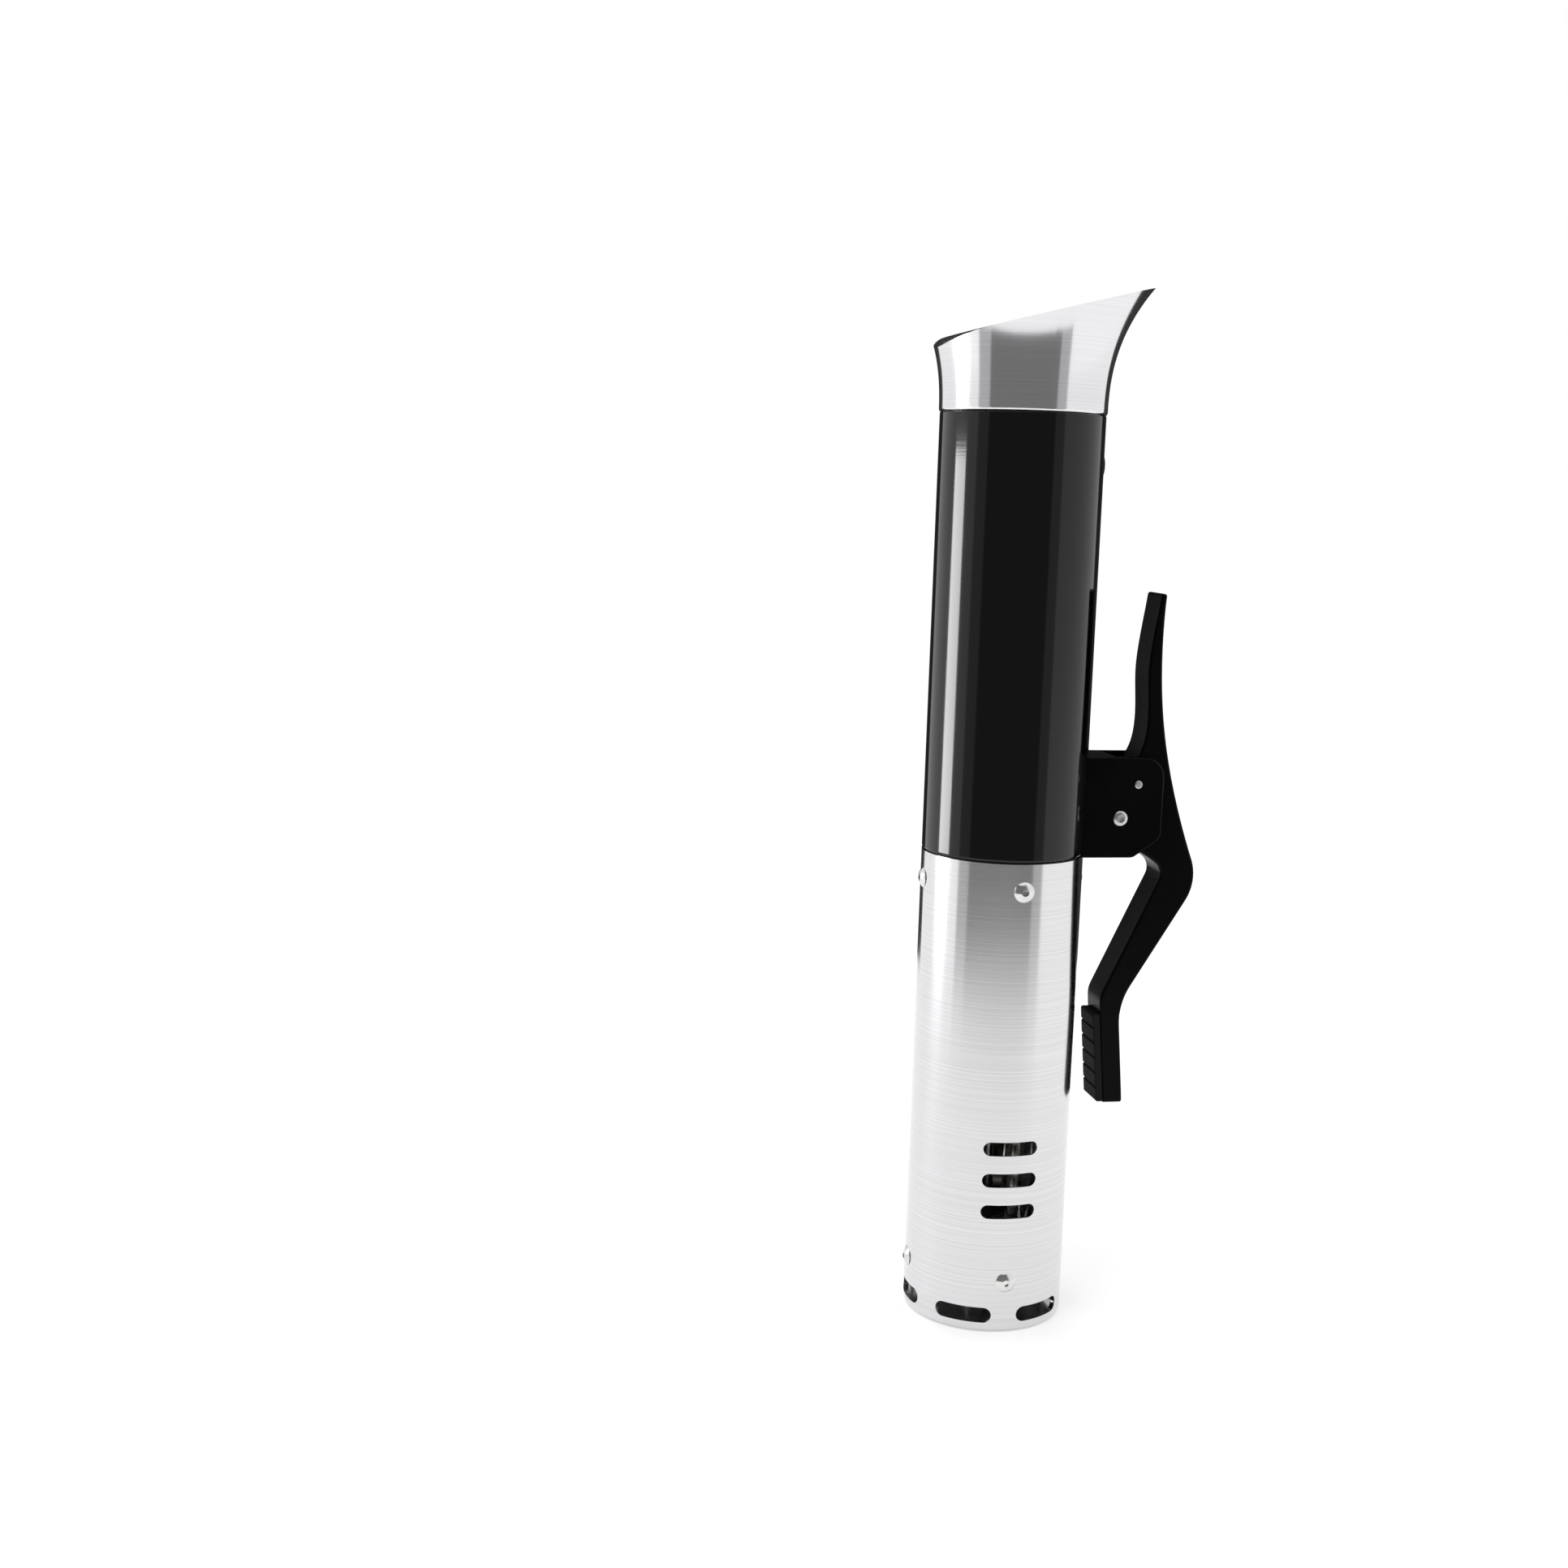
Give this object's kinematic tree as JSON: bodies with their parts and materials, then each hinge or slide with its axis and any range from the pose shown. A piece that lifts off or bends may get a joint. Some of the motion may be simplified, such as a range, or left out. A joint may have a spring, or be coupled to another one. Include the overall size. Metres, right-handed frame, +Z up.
{
  "type": "sous vide circulator",
  "caption": "Immersion circulator: flared slanted display head on a black tube, slotted steel skirt, and a sprung clamp that grips a pot wall.",
  "frame": {"origin": "middle of the underside of the foot", "axes": "+Z up the tube to the display head, the display leans towards -Y, the clamp is on +Y"},
  "size_m": [0.0784, 0.1099, 0.3958],
  "materials": {
    "head_aluminium": "satin",
    "bezel_plastic": "satin",
    "display_glass": "gloss",
    "circuit_board": "satin",
    "seal_rubber": "matte",
    "body_black": "satin gloss",
    "skirt_steel": "satin",
    "screw_steel": "polished",
    "inner_plastic": "matte",
    "motor_metal": "satin",
    "impeller_plastic": "matte",
    "heater_steel": "satin",
    "clamp_plastic": "satin",
    "pin_steel": "polished",
    "pad_rubber": "matte",
    "spring_steel": "satin"
  },
  "bodies": {
    "housing": {"head_shell": "head_aluminium", "display_bezel": "bezel_plastic", "display_glass": "display_glass", "display_board": "circuit_board", "head_seal": "seal_rubber", "body_seal": "seal_rubber", "body_tube": "body_black", "cord_gland": "seal_rubber", "skirt": "skirt_steel", "upper_skirt_screws": "screw_steel", "lower_skirt_screws": "screw_steel", "bulkhead": "inner_plastic", "shaft_seal": "seal_rubber", "base_cap": "skirt_steel", "shaft_bush": "inner_plastic", "motor": "motor_metal", "heater_element": "heater_steel", "temperature_probe": "heater_steel", "level_probes": "heater_steel", "board_frame": "inner_plastic", "power_board": "circuit_board", "clamp_bracket": "clamp_plastic", "bracket_screws": "screw_steel", "pivot_pin": "pin_steel", "stop_pin": "pin_steel", "clamp_spring": "spring_steel"},
    "rotor": {"motor_shaft": "screw_steel", "impeller": "impeller_plastic"},
    "clamp": {"clamp_lever": "clamp_plastic", "jaw_pad": "pad_rubber"}
  },
  "joints": [
    {"name": "clamp_hinge", "type": "hinge", "parent": "housing", "child": "clamp", "pos_m": [0, 0.0429, 0.1969], "axis": [1, 0, 0], "range_deg": [-4.2, 13], "stiffness_Nm_per_rad": 2, "deforming": ["clamp_spring"]},
    {"name": "impeller_spin", "type": "hinge", "parent": "housing", "child": "rotor", "pos_m": [0, 0, 0.1], "axis": [0, 0, 1], "continuous": true}
  ]
}
